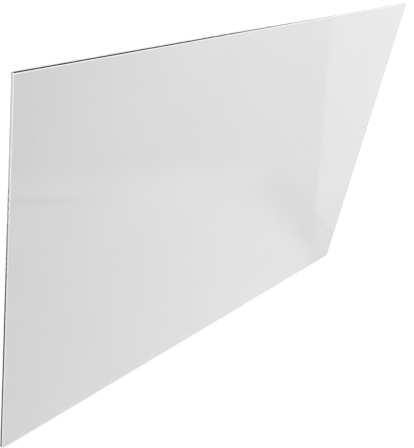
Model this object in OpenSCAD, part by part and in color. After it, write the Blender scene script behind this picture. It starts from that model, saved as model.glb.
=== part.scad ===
// Laminated pickguard sheet: a flat plastic blank of three bonded plies, white over black over white.
// It lies on its back with the gloss face up. The origin is the centre of the back face.

/* [Sheet] */
// Length of the sheet, along X
sheet_length = 435; // [150:1:900]
// Width of the sheet, along Y
sheet_width = 290; // [100:1:600]
// Radius of the four corners, seen from above
corner_radius = 0.4; // [0.2:0.1:12]

/* [Plies] */
// Thickness of the white ply that carries the gloss face
face_ply_thickness = 0.95; // [0.4:0.05:2]
// Thickness of the black ply between the two white ones
core_ply_thickness = 1.4; // [0.3:0.05:2]
// Thickness of the white ply on the back
back_ply_thickness = 0.45; // [0.4:0.05:2]

/* [Scraped edges] */
// Radius scraped onto the edge all round the gloss face
face_edge_radius = 0.2; // [0.05:0.05:0.35]
// Radius scraped onto the edge all round the back
back_edge_radius = 0.1; // [0.05:0.05:0.35]

/* [Hidden] */
$fn = 32;

// Heights at which one ply ends and the next begins
back_ply_top = back_ply_thickness;
core_ply_top = back_ply_top + core_ply_thickness;
sheet_thickness = core_ply_top + face_ply_thickness;

// What rounding takes off a square corner at the origin, whose sides run along +X and +Y
module corner_waste(radius) {
  difference() {
    square(radius);
    translate([radius, radius])
      circle(r = radius);
  }
}

// The sheet seen from above
module plan_outline() {
  difference() {
    square([sheet_length, sheet_width], center = true);
    for (flip_x = [0, 1], flip_y = [0, 1])
      mirror([flip_x, 0])
        mirror([0, flip_y])
          translate([-sheet_length / 2, -sheet_width / 2])
            corner_waste(corner_radius);
  }
}

// The sheet seen along its length or its width, standing on z = 0
module edge_outline(span) {
  difference() {
    translate([-span / 2, 0])
      square([span, sheet_thickness]);
    for (flip_x = [0, 1])
      mirror([flip_x, 0])
        translate([-span / 2, 0]) {
          corner_waste(back_edge_radius);
          translate([0, sheet_thickness])
            mirror([0, 1])
              corner_waste(face_edge_radius);
        }
  }
}

// The whole sheet, sawn and scraped through all its plies at once: the solid that has all three outlines
module cut_sheet() {
  intersection() {
    linear_extrude(sheet_thickness)
      plan_outline();
    rotate([90, 0, 0])
      linear_extrude(sheet_width, center = true)
        edge_outline(sheet_length);
    rotate([90, 0, 90])
      linear_extrude(sheet_length, center = true)
        edge_outline(sheet_width);
  }
}

// The layer of the cut sheet between two heights
module ply(bottom, top) {
  intersection() {
    cut_sheet();
    translate([-sheet_length / 2, -sheet_width / 2, bottom])
      cube([sheet_length, sheet_width, top - bottom]);
  }
}

module back_ply() {
  color("white")
    ply(0, back_ply_top);
}

module core_ply() {
  color("black")
    ply(back_ply_top, core_ply_top);
}

module face_ply() {
  color("white")
    ply(core_ply_top, sheet_thickness);
}

back_ply();
core_ply();
face_ply();
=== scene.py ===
"""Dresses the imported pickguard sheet: three sawn plies, a gloss face, and a pale studio round it."""

import math
import random

import bpy
import numpy as np
from mathutils import Matrix, Quaternion, Vector, geometry, noise


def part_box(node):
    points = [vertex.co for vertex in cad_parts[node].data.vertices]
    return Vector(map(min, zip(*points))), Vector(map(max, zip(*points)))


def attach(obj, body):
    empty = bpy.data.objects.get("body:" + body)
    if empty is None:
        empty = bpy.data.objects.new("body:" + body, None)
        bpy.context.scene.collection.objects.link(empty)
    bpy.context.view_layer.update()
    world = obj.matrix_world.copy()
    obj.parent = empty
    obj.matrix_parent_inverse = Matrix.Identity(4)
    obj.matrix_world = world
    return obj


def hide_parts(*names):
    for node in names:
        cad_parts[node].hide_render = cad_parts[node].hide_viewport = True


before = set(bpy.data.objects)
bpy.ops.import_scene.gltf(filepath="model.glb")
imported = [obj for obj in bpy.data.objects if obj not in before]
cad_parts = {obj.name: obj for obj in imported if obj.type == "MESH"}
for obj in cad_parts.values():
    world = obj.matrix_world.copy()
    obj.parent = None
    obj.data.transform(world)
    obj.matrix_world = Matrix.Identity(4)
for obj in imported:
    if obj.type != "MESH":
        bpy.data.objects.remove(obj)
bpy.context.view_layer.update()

MM = 0.001

# The sheet, from the frame
BACK_LOW, BACK_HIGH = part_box("back_ply")
CORE_LOW, CORE_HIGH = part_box("core_ply")
FACE_LOW, FACE_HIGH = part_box("face_ply")
SHEET_LENGTH = FACE_HIGH.x - FACE_LOW.x
SHEET_WIDTH = FACE_HIGH.y - FACE_LOW.y
HALF_LENGTH = SHEET_LENGTH / 2
HALF_WIDTH = SHEET_WIDTH / 2

# Rounding of the sheet's corners and arrises
CORNER_RADIUS = 0.4 * MM
FACE_ARRIS_RADIUS = 0.2 * MM
BACK_ARRIS_RADIUS = 0.1 * MM
ARRIS_STEPS = 4
CORNER_STEPS = 6

# What the saw left on the edges: leaning marks, a slow wander, and nicks in the face's arris
EDGE_STEP = 0.6 * MM
MARK_PITCH = 2.4 * MM
MARK_RISE = 4 * MM
MARK_DEPTH = 0.014 * MM
MARK_LEAN = 0.5
WANDER_PITCH = 70 * MM
WANDER_DEPTH = 0.03 * MM
WANDER_ROW = 4.7
FADE_AT_CORNERS = 2 * MM
NICKS = 22
NICK_SEED = 5
NICK_DEPTH = (0.05 * MM, 0.16 * MM)
NICK_REACH = (0.5 * MM, 1.6 * MM)
NICK_HEIGHT = 0.45 * MM

# How unlevel the gloss face is: broad dips with a fine ripple on them, and each one's row of the noise
DIP_DEPTH = 0.03 * MM
DIP_PITCH_X, DIP_PITCH_Y = 95 * MM, 70 * MM
DIP_SHARE, DIP_ROW = 0.45, 3.1
RIPPLES_PER_DIP, RIPPLE_SHARE, RIPPLE_ROW = 3, 0.08, 8.4

# Points that fill a broad side: rings as (inset from the outline, spacing), and a grid's spacing inside them
FILL_RINGS = ((1.2 * MM, 1.2 * MM), (3.5 * MM, 2.8 * MM))
FILL_GRID = 6 * MM
COVERED_GRID = 40 * MM

# The triangles between them lie inside the outline only. Points this many millimetres apart are joined.
INSIDE_ONLY = 1
JOIN_WITHIN = 1e-5

# Which broad side of a ply shows, and the material slots of its broad sides and its sawn edge
ABOVE, NEITHER, BELOW = 1, 0, -1
BROAD_SLOT, EDGE_SLOT = 0, 1
SHARP_ANGLE = 40

# The map that a bake would use: a strip for each of the four sides, then the broad side that shows. The broad
# side that another ply covers is laid out small.
NAME_OF_MAP = "OFBake"
MAP_MARGIN = 0.01
STRIP_HEIGHT, STRIP_GAP = 0.05, 0.02
BROAD_LOW, BROAD_HIGH = 0.33, 0.99
COVERED_LOW, COVERED_WIDTH, COVERED_HEIGHT = 0.28, 0.05, 0.04

# The plastic's refraction and colours
IOR = 1.53
WHITE = 0.68
SAWN_WHITE = 0.74
BLACK = 0.006
DUST_GREY = 0.2

# Patterns in the materials. A rise is a pair: the noise at which a change starts and at which it is complete.
# A pair of levels or roughnesses is what the surface has before the change and after it.
CLOUD_SIZE, CLOUD_RISE, CLOUD_LEVELS = 60 * MM, (0.3, 0.7), (WHITE - 0.006, WHITE + 0.004)
GRAIN_SIZE, GRAIN_RISE, GRAIN_LEVEL, GRAIN_COVER = 0.7 * MM, (0.35, 0.75), WHITE - 0.02, 0.25
FILM_SIZE, FILM_RISE, FILM_ROUGHNESS = 35 * MM, (0.42, 0.72), (0.006, 0.014)
PEEL_SIZE, PEEL_HEIGHT = 9 * MM, 0.0015 * MM

# Hairlines in the gloss, in two directions, as (how the noise is squeezed, its size, its rise)
HAIRLINES = (((14.0, 210.0, 1.0), 0.16, (0.68, 0.74)), ((160.0, 22.0, 1.0), 0.21, (0.69, 0.75)))
HAIR_ROUGHNESS = 0.02
HAIR_DEPTH = 0.0006 * MM

# Dust under the gloss, as (place seen from above, radius), and how much it greys the white and roughens it
SPECKS = (
    ((-210 * MM, 113 * MM), 1.5 * MM),
    ((-203 * MM, 102 * MM), 1.8 * MM),
    ((-157 * MM, 14 * MM), 1.6 * MM),
)
DUST_COVER = 0.1
DUST_ROUGHNESS = 0.15

# The sawn edges: blade marks that come and go in bands, and fine pits
WHITE_EDGE = {"levels": (SAWN_WHITE, SAWN_WHITE - 0.05), "roughness": (0.4, 0.62), "shine": 0.4}
BLACK_EDGE = {"levels": (BLACK, 0.012), "roughness": (0.7, 0.9), "shine": 0.03}
BLADE_SIZE, BLADE_STRETCH = 0.45 * MM, 0.12
BLADE_WORN_RISE, BLADE_SHEEN_RISE = (0.5, 0.78), (0.3, 0.7)
BAND_SIZE, BAND_RISE, BAND_LEAST = 5 * MM, (0.35, 0.65), 0.3
PIT_SIZE = 0.16 * MM
BLADE_BUMP, PIT_BUMP = 0.02 * MM, 0.008 * MM

# Streaks in which an edge is painted with another ply's colour, and how far in from the outline a side's own
# zone begins and ends
STREAK_STRETCH, STREAK_RISE, STREAK_COVER_RISE = 0.12, (0.3, 0.7), (0.85, 1.15)
WHITE_STREAK_SIZE, BLACK_STREAK_SIZE = 0.35 * MM, 0.3 * MM
SIDE_ZONE = (1.5 * MM, 0.5 * MM)

# Where the black core's edge is painted paler in streaks, which fades the dark line there, as (place, how far
# it reaches, strongest, only on X sides)
PAINTED_PALE_LEVEL = 0.5
PAINTED_PALE_STRETCHES = (
    ((150 * MM, HALF_WIDTH), 280 * MM, 0.85, False),
    ((-HALF_LENGTH, HALF_WIDTH), 200 * MM, 0.95, True),
)

# Where the back ply's edge is painted near black in streaks on the +Y side, which widens the dark line there,
# as (place, how far it reaches, strongest)
PAINTED_DARK_LEVEL = 0.008
PAINTED_DARK_STRETCH = ((-HALF_LENGTH, HALF_WIDTH), 330 * MM, 1.7)

# The satin back: a fine tooth, rubbed smoother in places
TOOTH_SIZE, TOOTH_RISE, TOOTH_LEVEL, TOOTH_COVER = 0.35 * MM, (0.4, 0.75), WHITE - 0.05, 0.3
RUBBED_SIZE, RUBBED_RISE, RUBBED_LEVELS = 45 * MM, (0.35, 0.7), (WHITE - 0.02, WHITE + 0.005)
RUBBED_SHEEN_RISE, RUBBED_ROUGHNESS = (0.35, 0.75), (0.42, 0.3)
TOOTH_BUMP = 0.012 * MM

# The glued faces of the core
GLUE_SIZE, GLUE_RISE = 12 * MM, (0.3, 0.7)
GLUE_LEVELS, GLUE_ROUGHNESS = (BLACK, BLACK * 1.8), (0.45, 0.6)

# The camera looks along the length from beyond one corner, and it is rolled far over
CAMERA_PLACE = Vector((-431, 292, 299.3)) * MM
CAMERA_AIM = Vector((-24, -17, 2.8)) * MM
CAMERA_ROLL = 122.4
CAMERA_LENS = 57.6
SENSOR_LONG_SIDE = 36.0
NEAREST_SEEN, FARTHEST_SEEN = 0.01, 200

# The floor and the light from all round. The backdrop darkens a little from the horizon to the zenith.
FLOOR_REACH = 60.0
FLOOR_DROP = 0.02 * MM
FLOOR_COLOUR = 0.8
FLOOR_SEEN = 1.24
WORLD_LIGHT = 0.52
HORIZON, ZENITH, ZENITH_SHADE = 0.1, 1.0, 0.8

# Two broad, soft lamps, as (the direction each shines from, strength, spread in degrees)
LAMPS = {
    "key": ((-0.42, 0.70, 0.58), 0.5, 50),
    "low_fill": ((-0.6, 0.77, 0.2), 0.5, 30),
}

# An upright wall stands where the gloss face mirrors it. Places on it are (along, across) in metres, from the
# point of the wall nearest the sheet, at floor level. Both directions are turned as the studio's lights are.
WALL_HEADING = -37.0
WALL_DISTANCE = 1.6
WALL_TURN = 29.1
CARD_STEP = 0.4 * MM
CORNER_VALUE = "corner_value"

# The broad light: its middle and size, its glow there with its slope and bend along, and how it fades across
PANEL_PLACE, PANEL_SIZE = (0.4, 0.75), (2.6, 2.8)
PANEL_GLOW = (2.011, 1.125, 0.625)
PANEL_FADE, PANEL_FADE_POWER = 1.17, 2.4

# The strip light before it, as corners: (along, across, glow there)
STRIP_LIGHT = ((0.1, 0.1, 0.91), (1.7, 0.1, 2.67), (1.7, 0.443, 3.09), (0.1, 0.450, 1.33))

# Corners that screens share, as (along, across, share of the light passed there)
SIDE_LOW_NEAR, SIDE_LOW_FAR = (0.624, 0.66, 0.755), (1.9, 0.66, 0.71)
SIDE_HIGH_NEAR, SIDE_HIGH_FAR = (0.632, 1.3, 0.80), (1.9, 1.3, 0.60)
FOOT_LOW, FOOT_HIGH = (0.33, 0.45, 0.85), (0.33, 0.74, 0.985)
INNER_LOW, INNER_HALF, INNER_HIGH = (0.45, 0.45, 0.735), (0.45, 0.58, 0.855), (0.45, 0.74, 0.99)
OUTER_LOW, OUTER_HALF, OUTER_HIGH = (0.56, 0.45, 0.68), (0.56, 0.58, 0.71), (0.56, 0.74, 0.895)
OUTER_STEP = (0.561, 0.645, 0.81)
EDGE_HALF, EDGE_HIGH = (0.621, 0.58, 0.735), (0.631, 0.74, 0.875)
BAND_LEFT, BAND_RIGHT = (0.595, 0.85, 0.925), (0.632, 0.85, 0.92)

# Screens before the lights, as a turn and corners. The places of a screen's corners are turned by its turn.
STAND_LEAN = 42
BACK_SCREENS = {
    "side_low": (0, ((0.615, 0.4, 0.70), (1.9, 0.4, 0.66), SIDE_LOW_FAR, SIDE_LOW_NEAR)),
    "side_middle": (0, (SIDE_LOW_NEAR, SIDE_LOW_FAR, SIDE_HIGH_FAR, SIDE_HIGH_NEAR, (0.634, 0.78, 0.77))),
    "side_high": (0, (SIDE_HIGH_NEAR, SIDE_HIGH_FAR, (1.9, 2.3, 0.44), (0.632, 2.3, 0.62))),
    "low_screen": (0, ((-0.1, 0.45, 1.0), FOOT_LOW, FOOT_HIGH, (-0.1, 0.74, 1.0))),
    "foot_screen": (0, (FOOT_LOW, INNER_LOW, INNER_HIGH, FOOT_HIGH)),
    "corner_low": (0, (INNER_LOW, OUTER_LOW, OUTER_HALF, INNER_HALF)),
    "corner_high": (0, (INNER_HALF, OUTER_HALF, OUTER_STEP, OUTER_HIGH, INNER_HIGH)),
    "edge_low": (0, (OUTER_LOW, (0.615, 0.45, 0.70), EDGE_HALF, OUTER_HALF)),
    "edge_high": (0, (OUTER_HALF, EDGE_HALF, (0.625, 0.645, 0.835), EDGE_HIGH, OUTER_HIGH, OUTER_STEP)),
    "upper_screen": (0, (INNER_HIGH, OUTER_HIGH, EDGE_HIGH, (0.634, 0.87, 0.965), (0.45, 0.87, 1.0))),
    "band_start": (0, ((0.595, 0.76, 1.0), (0.632, 0.76, 1.0), BAND_RIGHT, BAND_LEFT)),
    "band": (0, (BAND_LEFT, BAND_RIGHT, (0.630, 2.3, 0.93), (0.595, 2.3, 0.94))),
    "stand": (STAND_LEAN, (
        (0.45, 0.025, 0.70), (0.857, 0.025, 0.93), (0.857, 0.108, 0.895), (0.45, 0.108, 0.63),
    )),
    "stand_rim": (STAND_LEAN, (
        (0.45, 0.112, 0.84), (0.857, 0.112, 0.85), (0.857, 0.131, 0.88), (0.45, 0.131, 0.86),
    )),
    "rim_shade": (STAND_LEAN, (
        (0.45, 0.131, 0.93), (0.857, 0.131, 0.93), (0.857, 0.146, 0.95), (0.45, 0.146, 0.95),
    )),
    "cable": (0, (
        (0.512, 1.28, 0.97), (0.530, 1.28, 0.85), (0.531, 1.5, 0.3),
        (0.531, 1.95, 0.45), (0.495, 1.95, 0.45), (0.505, 1.5, 0.7),
    )),
}

# Screens before the strip light too
FRONT_SCREENS = {
    "stand_foot": (0, ((0.1, 0.129, 0.63), (0.456, 0.450, 0.90), (0.1, 0.450, 0.63))),
    "foot_rim": (STAND_LEAN, (
        (0.1, 0.031, 0.87), (0.635, 0.031, 0.87), (0.635, 0.042, 0.87), (0.1, 0.042, 0.87),
    )),
    "foot_shade": (STAND_LEAN, (
        (0.45, -0.05, 0.93), (0.75, -0.05, 1.0), (0.70, 0.029, 0.96), (0.45, 0.029, 0.90),
    )),
}


# The outline and what the saw did to it

def unit(degrees):
    """The direction at this angle, seen from above."""
    turn = math.radians(degrees)
    return Vector((math.cos(turn), math.sin(turn)))


def rounded_outline():
    """Points round the sheet, anticlockwise from above.

    Each is (place, outward normal, run from the start, fade from 0 at a corner to 1, side).
    """
    points = []
    run = 0.0
    for side, (sign_x, sign_y) in enumerate(((1, -1), (1, 1), (-1, 1), (-1, -1))):
        centre = Vector((sign_x * (HALF_LENGTH - CORNER_RADIUS), sign_y * (HALF_WIDTH - CORNER_RADIUS)))
        for step in range(CORNER_STEPS):
            normal = unit(90 * (side - 1 + step / CORNER_STEPS))
            points.append((centre + normal * CORNER_RADIUS, normal, run, 0.0, side))
            run += math.radians(90) * CORNER_RADIUS / CORNER_STEPS
        normal = unit(90 * side)
        along = Vector((-normal.y, normal.x))
        straight = (SHEET_WIDTH if side % 2 == 0 else SHEET_LENGTH) - 2 * CORNER_RADIUS
        count = round(straight / EDGE_STEP)
        for step in range(count):
            gone = straight * step / count
            fade = min(1.0, gone / FADE_AT_CORNERS, (straight - gone) / FADE_AT_CORNERS)
            points.append((centre + normal * CORNER_RADIUS + along * gone, normal, run + gone, fade, side))
        run += straight
    return points


OUTLINE = rounded_outline()


def scattered_nicks():
    """Small bites out of the face's arris, as (run along the edge, reach, depth)."""
    draw = random.Random(NICK_SEED)
    whole = OUTLINE[-1][2]
    nicks = []
    for _ in range(NICKS):
        nicks.append((draw.uniform(0, whole), draw.uniform(*NICK_REACH), draw.uniform(*NICK_DEPTH)))
    return nicks


NICK_LIST = scattered_nicks()


def unit_noise(*place):
    """Noise about 0.5, from near 0 to near 1."""
    return 0.5 + 0.5 * noise.noise(place)


def saw_depth(run, height, fade):
    """How far the blade bit into the edge at this place."""
    lean = run + height * MARK_LEAN
    mark = unit_noise(lean / MARK_PITCH, height / MARK_RISE, 0)
    wander = unit_noise(run / WANDER_PITCH, WANDER_ROW, 0)
    return fade * (MARK_DEPTH * mark + WANDER_DEPTH * wander)


def nick_depth(run, height, fade):
    """How far a nick in the face's arris reaches in at this place."""
    below = (FACE_HIGH.z - height) / NICK_HEIGHT
    if below > 1:
        return 0.0
    deepest = 0.0
    for place, reach, depth in NICK_LIST:
        off = abs(run - place) / reach
        if off < 1:
            deepest = max(deepest, depth * (1 - off * off) ** 2)
    return fade * deepest * (1 - below)


def face_dip(x, y):
    """How far the gloss face lies below its highest places."""
    across, up = x / DIP_PITCH_X, y / DIP_PITCH_Y
    dip = noise.noise((across, up, DIP_ROW))
    ripple = noise.noise((RIPPLES_PER_DIP * across, RIPPLES_PER_DIP * up, RIPPLE_ROW))
    return DIP_DEPTH * min(max(0.5 + DIP_SHARE * dip + RIPPLE_SHARE * ripple, 0.0), 1.0)


# The meshes of the plies

def edge_rows(low, high, low_radius, high_radius):
    """The edge's section from below to above, as (inset, height)."""
    quarter = [math.radians(90 * step / ARRIS_STEPS) for step in range(ARRIS_STEPS + 1)]
    below, above = [(0.0, low)], [(0.0, high)]
    if low_radius:
        below = [(low_radius * (1 - math.sin(a)), low + low_radius * (1 - math.cos(a))) for a in quarter]
    if high_radius:
        above = [(high_radius * (1 - math.cos(a)), high - high_radius * (1 - math.sin(a))) for a in quarter]
    middle = (0.0, (low + low_radius + high - high_radius) / 2)
    return [*below, middle, *above]


def edge_points(rows, low, high, gloss):
    """The points of a ply's sawn edge, row by row from below."""
    points = []
    for inset, height in rows:
        for place, normal, run, fade, _ in OUTLINE:
            depth = inset + saw_depth(run, height, fade) + (nick_depth(run, height, fade) if gloss else 0.0)
            at = place - normal * depth
            drop = face_dip(at.x, at.y) * (height - low) / (high - low) if gloss else 0.0
            points.append((at.x, at.y, height - drop))
    return points


def side_shares():
    """For each stretch of the outline: its side, and the shares of that side at which it starts and ends."""
    shares = []
    for side in range(4):
        count = sum(1 for point in OUTLINE if point[4] == side)
        shares += [(side, i / count, (i + 1) / count) for i in range(count)]
    return shares


def side_places(stretch, low, high):
    """Map places of one face of the edge. Each side of the sheet has a strip of its own."""
    side, start, end = stretch
    bottom = MAP_MARGIN + side * (STRIP_HEIGHT + STRIP_GAP)
    left, right = (MAP_MARGIN + share * (1 - 2 * MAP_MARGIN) for share in (start, end))
    below, above = (bottom + share * STRIP_HEIGHT for share in (low, high))
    return [(left, below), (right, below), (right, above), (left, above)]


def edge_faces(row_count):
    """The faces between the rows of a sawn edge, as (corners, map places)."""
    count = len(OUTLINE)
    stretches = side_shares()
    bands = row_count - 1
    faces = []
    for band in range(bands):
        base, above = band * count, (band + 1) * count
        for i in range(count):
            after = (i + 1) % count
            corners = (base + i, base + after, above + after, above + i)
            faces.append((corners, side_places(stretches[i], band / bands, (band + 1) / bands)))
    return faces


def ring_points(inset, spacing):
    """Points on a rectangle that lies inset from the sheet's outline."""
    half_x, half_y = HALF_LENGTH - inset, HALF_WIDTH - inset
    count_x, count_y = round(2 * half_x / spacing), round(2 * half_y / spacing)
    points = []
    for i in range(count_x):
        x = -half_x + 2 * half_x * i / count_x
        points += [(x, -half_y), (-x, half_y)]
    for i in range(count_y):
        y = -half_y + 2 * half_y * i / count_y
        points += [(half_x, y), (-half_x, -y)]
    return points


def grid_points(inset, spacing):
    """Points on a grid inside a rectangle that lies inset from the sheet's outline."""
    half_x, half_y = HALF_LENGTH - inset, HALF_WIDTH - inset
    columns = np.linspace(-half_x, half_x, round(2 * half_x / spacing) + 1)
    rows = np.linspace(-half_y, half_y, round(2 * half_y / spacing) + 1)
    return [(float(x), float(y)) for x in columns for y in rows]


def fill(loop, fine):
    """Triangles that close a loop of points seen from above: (all points, the loop's first; triangles)."""
    inner = []
    if fine:
        for inset, spacing in FILL_RINGS:
            inner += ring_points(inset, spacing)
        inner += grid_points(FILL_RINGS[-1][0] + FILL_GRID, FILL_GRID)
    else:
        inner += grid_points(COVERED_GRID, COVERED_GRID)
    points = [Vector(p) / MM for p in [*loop, *inner]]
    edges = [(i, (i + 1) % len(loop)) for i in range(len(loop))]
    found = geometry.delaunay_2d_cdt(points, edges, [], INSIDE_ONLY, JOIN_WITHIN)
    triangles, came_from = found[2], found[3]
    order = {new: old[0] for new, old in enumerate(came_from)}
    return [p * MM for p in points], [[order[i] for i in triangle] for triangle in triangles]


def broad_place(point, shown):
    """Map place of a point of a broad side."""
    across = point[0] / SHEET_LENGTH + 0.5
    up = point[1] / SHEET_WIDTH + 0.5
    if not shown:
        return (MAP_MARGIN + across * COVERED_WIDTH, COVERED_LOW + up * COVERED_HEIGHT)
    return (MAP_MARGIN + across * (1 - 2 * MAP_MARGIN), BROAD_LOW + up * (BROAD_HIGH - BROAD_LOW))


def close_side(points, first, z, turned, shown):
    """Closes one end of the edge: adds that broad side's inner points, and gives (corners, map places)."""
    count = len(OUTLINE)
    flat, triangles = fill([points[first + i][:2] for i in range(count)], shown)
    before = len(points) - count
    for x, y in flat[count:]:
        points.append((x, y, z - (face_dip(x, y) if shown and not turned else 0.0)))
    faces = []
    for triangle in triangles:
        corners = triangle[::-1] if turned else triangle
        numbers = tuple(first + i if i < count else before + i for i in corners)
        faces.append((numbers, [broad_place(flat[i], shown) for i in corners]))
    return faces


def build_ply(name, low, high, low_radius, high_radius, shown_side):
    """One ply as a closed mesh, with a slot for its broad sides and a slot for its sawn edge."""
    rows = edge_rows(low, high, low_radius, high_radius)
    points = edge_points(rows, low, high, shown_side == ABOVE)
    edge = edge_faces(len(rows))
    broad = close_side(points, 0, low, True, shown_side == BELOW)
    broad += close_side(points, (len(rows) - 1) * len(OUTLINE), high, False, shown_side == ABOVE)
    faces = edge + broad
    mesh = bpy.data.meshes.new(name)
    mesh.from_pydata(points, [], [corners for corners, _ in faces])
    mesh.polygons.foreach_set("material_index", [EDGE_SLOT] * len(edge) + [BROAD_SLOT] * len(broad))
    mesh.polygons.foreach_set("use_smooth", [True] * len(faces))
    places = [place for _, face_places in faces for place in face_places]
    layer = mesh.uv_layers.new(name=NAME_OF_MAP)
    layer.uv.foreach_set("vector", np.array(places, np.float32).ravel())
    mesh.update()
    mesh.validate()
    mesh.set_sharp_from_angle(angle=math.radians(SHARP_ANGLE))
    piece = bpy.data.objects.new(name, mesh)
    bpy.context.scene.collection.objects.link(piece)
    normals = piece.modifiers.new("area_normals", "WEIGHTED_NORMAL")
    normals.keep_sharp = True
    return piece


# Materials

class Shader:
    """The node tree of a material or world, built one node at a time."""

    def __init__(self, owner):
        owner.use_nodes = True
        self.tree = owner.node_tree
        self.tree.nodes.clear()

    def feed(self, node, inputs):
        """Sets a node's inputs: each socket's name or number, with a value or the socket that feeds it."""
        for key, value in inputs.items():
            if isinstance(value, bpy.types.NodeSocket):
                self.tree.links.new(value, node.inputs[key])
            else:
                node.inputs[key].default_value = value

    def node(self, kind, inputs=None, **settings):
        """A new node, with its inputs as feed takes them."""
        made = self.tree.nodes.new("ShaderNode" + kind)
        for key, value in settings.items():
            setattr(made, key, value)
        self.feed(made, inputs or {})
        return made

    def surface(self, shader, kind="Material"):
        """Makes a shader the surface of the material or world."""
        self.node("Output" + kind, {"Surface": shader})

    def place(self):
        """A point's place in the row frame, in metres."""
        return self.node("TexCoord").outputs["Object"]

    def split(self, vector):
        """The sockets X, Y and Z of a vector."""
        return self.node("SeparateXYZ", {0: vector}).outputs

    def joined(self, x, y):
        """The vector with these X and Y, and Z at 0."""
        return self.node("CombineXYZ", {0: x, 1: y}).outputs[0]

    def stretched(self, vector, factors):
        """A vector with its parts multiplied by factors."""
        return self.node("VectorMath", {0: vector, 1: factors}, operation="MULTIPLY").outputs[0]

    def distance(self, spot):
        """How far a point is from a spot."""
        return self.node("VectorMath", {0: self.place(), 1: spot}, operation="DISTANCE").outputs["Value"]

    def noise(self, vector, size, detail=2.0, roughness=0.5):
        """Noise whose features are about size metres across, from 0 to 1."""
        inputs = {"Vector": vector, "Scale": 1 / size, "Detail": detail, "Roughness": roughness}
        return self.node("TexNoise", inputs).outputs[0]

    def math(self, operation, *numbers):
        """An operation on up to three numbers or sockets."""
        return self.node("Math", dict(enumerate(numbers)), operation=operation).outputs[0]

    def ramp(self, value, start, end, low=0.0, high=1.0, kind="SMOOTHSTEP"):
        """low where value is under start, high where it is over end, and a smooth rise between."""
        inputs = {"Value": value, "From Min": start, "From Max": end, "To Min": low, "To Max": high}
        return self.node("MapRange", inputs, interpolation_type=kind).outputs[0]

    def mix(self, factor, first, second):
        """Colours first and second, mixed by factor."""
        return self.node("Mix", {0: factor, 6: first, 7: second}, data_type="RGBA").outputs[2]

    def bump(self, height, distance, under=None):
        """A normal raised by height times distance, on top of the normal under."""
        inputs = {"Height": height, "Distance": distance}
        if under is not None:
            inputs["Normal"] = under
        return self.node("Bump", inputs).outputs[0]


def grey(level):
    """The colour without hue at this level."""
    return (level, level, level, 1.0)


def greys(levels):
    """The colours without hue at these levels."""
    return [grey(level) for level in levels]


def plastic(name, shine=0.5):
    """A new rigid vinyl: (material, its shader, its principled node)."""
    material = bpy.data.materials.new(name)
    shader = Shader(material)
    principled = shader.node("BsdfPrincipled", {"IOR": IOR, "Specular IOR Level": shine})
    shader.surface(principled.outputs[0])
    return material, shader, principled


def dust(s):
    """1 in the middle of a speck of dust, and 0 beyond its radius."""
    cover = 0.0
    for spot, radius in SPECKS:
        cover = s.math("MAXIMUM", cover, s.ramp(s.distance((*spot, FACE_HIGH.z)), 0.0, radius, 1.0, 0.0))
    return cover


def hairlines(s):
    """1 on a hairline, and 0 between them."""
    cover = 0.0
    for factors, size, rise in HAIRLINES:
        lines = s.noise(s.stretched(s.place(), factors), size, roughness=0.6)
        cover = s.math("MAXIMUM", cover, s.ramp(lines, *rise))
    return cover


def gloss_white():
    """The polished face: near mirror gloss, faint cloudiness, hairlines, and specks of dust."""
    material, s, principled = plastic("gloss_white")
    place = s.place()
    specks = dust(s)
    hair = hairlines(s)
    clouds = s.ramp(s.noise(place, CLOUD_SIZE, detail=3.0), *CLOUD_RISE)
    grain = s.ramp(s.noise(place, GRAIN_SIZE, detail=1.0), *GRAIN_RISE, 0.0, GRAIN_COVER)
    base = s.mix(clouds, *greys(CLOUD_LEVELS))
    base = s.mix(grain, base, grey(GRAIN_LEVEL))
    base = s.mix(s.math("MULTIPLY", specks, DUST_COVER), base, grey(DUST_GREY))
    film = s.ramp(s.noise(place, FILM_SIZE, detail=4.0, roughness=0.6), *FILM_RISE)
    rough = s.ramp(film, 0.0, 1.0, *FILM_ROUGHNESS, "LINEAR")
    rough = s.math("MULTIPLY_ADD", hair, HAIR_ROUGHNESS, rough)
    rough = s.math("MULTIPLY_ADD", specks, DUST_ROUGHNESS, rough)
    peel = s.bump(s.noise(place, PEEL_SIZE, detail=1.5), PEEL_HEIGHT)
    peel = s.bump(hair, -HAIR_DEPTH, peel)
    s.feed(principled, {"Base Color": base, "Roughness": rough, "Normal": peel})
    return material


def along_edge(s):
    """How far along the sheet's edge a point is, and how high: (run, height)."""
    parts = s.split(s.place())
    return s.math("ADD", parts["X"], parts["Y"]), parts["Z"]


def sawn(name, levels, roughness, shine):
    """A sawn edge, with leaning blade marks: (material, its shader, its principled node, its colour)."""
    material, s, principled = plastic(name, shine)
    run, height = along_edge(s)
    lean = s.math("MULTIPLY_ADD", height, MARK_LEAN, run)
    drawn_up = s.joined(lean, s.math("MULTIPLY", height, BLADE_STRETCH))
    marks = s.noise(drawn_up, BLADE_SIZE, detail=3.0, roughness=0.65)
    bands = s.ramp(s.noise(drawn_up, BAND_SIZE), *BAND_RISE, BAND_LEAST, 1.0)
    worn = s.math("MULTIPLY", s.ramp(marks, *BLADE_WORN_RISE), bands)
    base = s.mix(worn, *greys(levels))
    rough = s.ramp(marks, *BLADE_SHEEN_RISE, *roughness)
    cut = s.bump(marks, BLADE_BUMP)
    cut = s.bump(s.noise(s.place(), PIT_SIZE, roughness=0.6), PIT_BUMP, cut)
    s.feed(principled, {"Base Color": base, "Roughness": rough, "Normal": cut})
    return material, s, principled, base


def streaked(s, base, colour, size, amount):
    """The colour base with another colour painted over it along the edge, in streaks that grow with amount.
    """
    run, height = along_edge(s)
    drawn_out = s.joined(s.math("MULTIPLY", run, STREAK_STRETCH), height)
    streaks = s.ramp(s.noise(drawn_out, size, detail=3.0, roughness=0.6), *STREAK_RISE, kind="LINEAR")
    cover = s.ramp(s.math("ADD", streaks, amount), *STREAK_COVER_RISE)
    return s.mix(cover, base, grey(colour))


def near(s, spot, reach, strongest):
    """strongest at a spot of the edge, and less and less up to reach from it."""
    return s.ramp(s.distance((*spot, CORE_LOW.z)), 0.0, reach, strongest, 0.0, "LINEAR")


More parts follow.
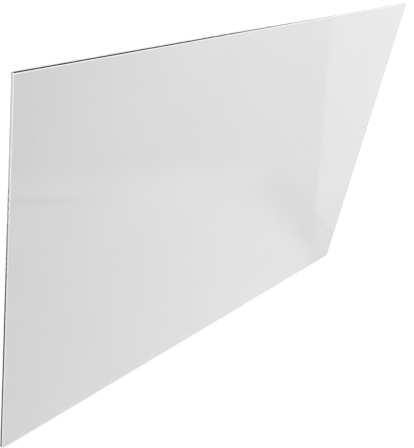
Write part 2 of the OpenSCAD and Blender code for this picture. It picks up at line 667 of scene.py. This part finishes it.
def on_side(s, distance, half):
    """1 on a side of the sheet that is half from the middle, and 0 well inside it."""
    inside, outside = SIDE_ZONE
    return s.ramp(distance, half - inside, half - outside)


def sawn_white():
    """The face ply's edge."""
    return sawn("sawn_white", **WHITE_EDGE)[0]


def sawn_back():
    """The back ply's edge: white, painted near black in streaks at one stretch, which widens the dark line
    there.
    """
    material, s, principled, base = sawn("sawn_back", **WHITE_EDGE)
    # The back ply's edge is painted near black here, strongest at the -X, +Y corner.
    amount = s.math("MULTIPLY", near(s, *PAINTED_DARK_STRETCH), on_side(s, s.split(s.place())["Y"], HALF_WIDTH))
    s.feed(principled, {"Base Color": streaked(s, base, PAINTED_DARK_LEVEL, BLACK_STREAK_SIZE, amount)})
    return material


def sawn_black():
    """The core's edge: black, painted paler in streaks at some stretches, which fades the dark line there."""
    material, s, principled, base = sawn("sawn_black", **BLACK_EDGE)
    on_x_side = on_side(s, s.math("ABSOLUTE", s.split(s.place())["X"]), HALF_LENGTH)
    amount = 0.0
    # The core's edge is painted paler at these stretches, fading the dark line.
    for spot, reach, strongest, only_x_sides in PAINTED_PALE_STRETCHES:
        here = near(s, spot, reach, strongest)
        amount = s.math("MAXIMUM", amount, s.math("MULTIPLY", here, on_x_side) if only_x_sides else here)
    s.feed(principled, {"Base Color": streaked(s, base, PAINTED_PALE_LEVEL, WHITE_STREAK_SIZE, amount)})
    return material


def satin_white():
    """The back: a fine even tooth, rubbed a little smoother in places."""
    material, s, principled = plastic("satin_white")
    place = s.place()
    tooth = s.noise(place, TOOTH_SIZE, roughness=0.6)
    rubbed = s.noise(place, RUBBED_SIZE, detail=4.0, roughness=0.6)
    base = s.mix(s.ramp(rubbed, *RUBBED_RISE), *greys(RUBBED_LEVELS))
    base = s.mix(s.ramp(tooth, *TOOTH_RISE, 0.0, TOOTH_COVER), base, grey(TOOTH_LEVEL))
    rough = s.ramp(rubbed, *RUBBED_SHEEN_RISE, *RUBBED_ROUGHNESS)
    s.feed(principled, {"Base Color": base, "Roughness": rough, "Normal": s.bump(tooth, TOOTH_BUMP)})
    return material


def bonded_black():
    """The broad sides of the core, which the white plies cover."""
    material, s, principled = plastic("bonded_black")
    glue = s.noise(s.place(), GLUE_SIZE, detail=3.0)
    rough = s.ramp(glue, *GLUE_RISE, *GLUE_ROUGHNESS)
    s.feed(principled, {"Base Color": s.mix(glue, *greys(GLUE_LEVELS)), "Roughness": rough})
    return material


def place_ply(piece, node, broad_material, edge_material):
    """Gives a ply its two materials and puts it in the place of its CAD node."""
    piece.data.materials.append(broad_material)
    piece.data.materials.append(edge_material)
    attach(piece, "root")
    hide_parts(node)


def dress_sheet():
    """Builds the three plies."""
    gloss = build_ply("gloss_ply", FACE_LOW.z, FACE_HIGH.z, 0.0, FACE_ARRIS_RADIUS, ABOVE)
    place_ply(gloss, "face_ply", gloss_white(), sawn_white())
    black = build_ply("black_ply", CORE_LOW.z, CORE_HIGH.z, 0.0, 0.0, NEITHER)
    place_ply(black, "core_ply", bonded_black(), sawn_black())
    satin = build_ply("satin_ply", BACK_LOW.z, BACK_HIGH.z, BACK_ARRIS_RADIUS, 0.0, BELOW)
    place_ply(satin, "back_ply", satin_white(), sawn_back())


# Studio

def looked_at(s):
    """1 for rays of the camera, of a reflection and through a clear surface, and 0 for other light."""
    path = s.node("LightPath").outputs
    beyond = s.math("MAXIMUM", path["Is Glossy Ray"], path["Is Transmission Ray"])
    return s.math("MAXIMUM", path["Is Camera Ray"], beyond)


def flat_object(name, corners, material):
    """One flat face as an object of the studio."""
    mesh = bpy.data.meshes.new(name)
    mesh.from_pydata(corners, [], [tuple(range(len(corners)))])
    mesh.materials.append(material)
    made = bpy.data.objects.new(name, mesh)
    bpy.context.scene.collection.objects.link(made)
    return made


def add_floor():
    """A pale floor that keeps the sheet's shadow and looks white."""
    material = bpy.data.materials.new("pale_floor")
    s = Shader(material)
    colour = s.mix(looked_at(s), grey(FLOOR_COLOUR), grey(FLOOR_SEEN))
    s.surface(s.node("BsdfDiffuse", {"Color": colour}).outputs[0])
    half = FLOOR_REACH / 2
    corners = [(-half, -half, 0), (half, -half, 0), (half, half, 0), (-half, half, 0)]
    floor = flat_object("floor", corners, material)
    floor.location.z = -FLOOR_DROP


def add_world():
    """Plain soft light from all round, and a white backdrop for whatever looks at it."""
    world = bpy.data.worlds.new("studio")
    bpy.context.scene.world = world
    s = Shader(world)
    height = s.split(s.node("TexCoord").outputs["Generated"])["Z"]
    shade = s.ramp(height, HORIZON, ZENITH, 1.0, ZENITH_SHADE)
    backdrop = s.node("Background", {"Color": grey(1.0), "Strength": shade}).outputs[0]
    light = s.node("Background", {"Color": grey(1.0), "Strength": WORLD_LIGHT}).outputs[0]
    s.surface(s.node("MixShader", {0: looked_at(s), 1: light, 2: backdrop}).outputs[0], "World")


def add_lamp(name, towards, strength, spread):
    """A broad, soft lamp that shines from the direction towards. The gloss doesn't mirror it."""
    lamp = bpy.data.lights.new(name, "SUN")
    lamp.energy = strength * math.pi
    lamp.angle = math.radians(spread)
    made = bpy.data.objects.new(name, lamp)
    made.rotation_euler = Vector(towards).to_track_quat("Z", "Y").to_euler()
    made.visible_glossy = False
    bpy.context.scene.collection.objects.link(made)


def wall_matrix(forward):
    """The wall's plane, brought forward towards the sheet: its X runs along the wall and its Y across."""
    turn = math.radians(WALL_TURN)
    away = unit(WALL_HEADING).to_3d()
    side = Vector((-away.y, away.x, 0))
    up = Vector((0, 0, 1))
    along = side * math.cos(turn) + up * math.sin(turn)
    across = up * math.cos(turn) - side * math.sin(turn)
    axes = Matrix((along, across, along.cross(across))).transposed().to_4x4()
    return Matrix.Translation(away * (WALL_DISTANCE - forward)) @ axes


def add_card(name, corners, place, turn, forward, material):
    """A flat card on the wall that only reflections show. Its material reads each corner's third number."""
    card = flat_object(name, [(x, y, 0) for x, y, _ in corners], material)
    values = card.data.attributes.new(CORNER_VALUE, "FLOAT", "POINT")
    values.data.foreach_set("value", [value for _, _, value in corners])
    turned = Matrix.Rotation(math.radians(turn), 4, "Z")
    card.matrix_world = wall_matrix(forward) @ Matrix.Translation((*place, 0)) @ turned
    card.visible_camera = False
    card.visible_diffuse = False
    card.visible_transmission = False
    card.visible_shadow = False


def panel_material():
    """The broad light's glow, which changes along the card and fades across it."""
    middle, slope, bend = PANEL_GLOW
    material = bpy.data.materials.new("panel_glow")
    s = Shader(material)
    parts = s.split(s.place())
    rise = s.math("MULTIPLY_ADD", parts["X"], bend, slope)
    glow = s.math("MULTIPLY_ADD", parts["X"], rise, middle)
    across = s.math("ABSOLUTE", s.math("DIVIDE", parts["Y"], PANEL_FADE))
    share = s.math("EXPONENT", s.math("MULTIPLY", s.math("POWER", across, PANEL_FADE_POWER), -1.0))
    strength = s.math("MULTIPLY", glow, share)
    s.surface(s.node("Emission", {"Color": grey(1.0), "Strength": strength}).outputs[0])
    return material


def cornered(name, kind, socket):
    """A material with one shader, whose socket takes the number that a card's corners give."""
    material = bpy.data.materials.new(name)
    s = Shader(material)
    value = s.node("Attribute", attribute_name=CORNER_VALUE).outputs["Fac"]
    s.surface(s.node(kind, {socket: value}).outputs[0])
    return material


def add_wall():
    """What the gloss mirrors: a broad soft light and a strip light, with screens and a stand before them."""
    x, y = PANEL_SIZE[0] / 2, PANEL_SIZE[1] / 2
    panel = ((-x, -y, 1.0), (x, -y, 1.0), (x, y, 1.0), (-x, y, 1.0))
    screen = cornered("screen", "BsdfTransparent", "Color")
    start = (0, 0)
    cards = [("soft_panel", panel, PANEL_PLACE, 0, panel_material())]
    cards += [(name, corners, start, turn, screen) for name, (turn, corners) in BACK_SCREENS.items()]
    cards.append(("strip_light", STRIP_LIGHT, start, 0, cornered("strip_glow", "Emission", "Strength")))
    cards += [(name, corners, start, turn, screen) for name, (turn, corners) in FRONT_SCREENS.items()]
    for i, (name, corners, place, turn, material) in enumerate(cards):
        add_card(name, corners, place, turn, CARD_STEP * i, material)


def add_camera():
    """The camera of the first view."""
    camera = bpy.data.cameras.new("camera")
    camera.sensor_width = SENSOR_LONG_SIDE
    camera.lens = CAMERA_LENS
    camera.clip_start = NEAREST_SEEN
    camera.clip_end = FARTHEST_SEEN
    made = bpy.data.objects.new("camera", camera)
    made.location = CAMERA_PLACE
    made.rotation_mode = "QUATERNION"
    level = (CAMERA_AIM - CAMERA_PLACE).to_track_quat("-Z", "Y")
    made.rotation_quaternion = level @ Quaternion((0, 0, 1), math.radians(CAMERA_ROLL))
    bpy.context.scene.collection.objects.link(made)
    bpy.context.scene.camera = made


add_camera()
add_floor()
add_world()
for lamp_name, lamp_settings in LAMPS.items():
    add_lamp(lamp_name, *lamp_settings)
add_wall()
dress_sheet()
bpy.context.scene.view_settings.view_transform = "Standard"
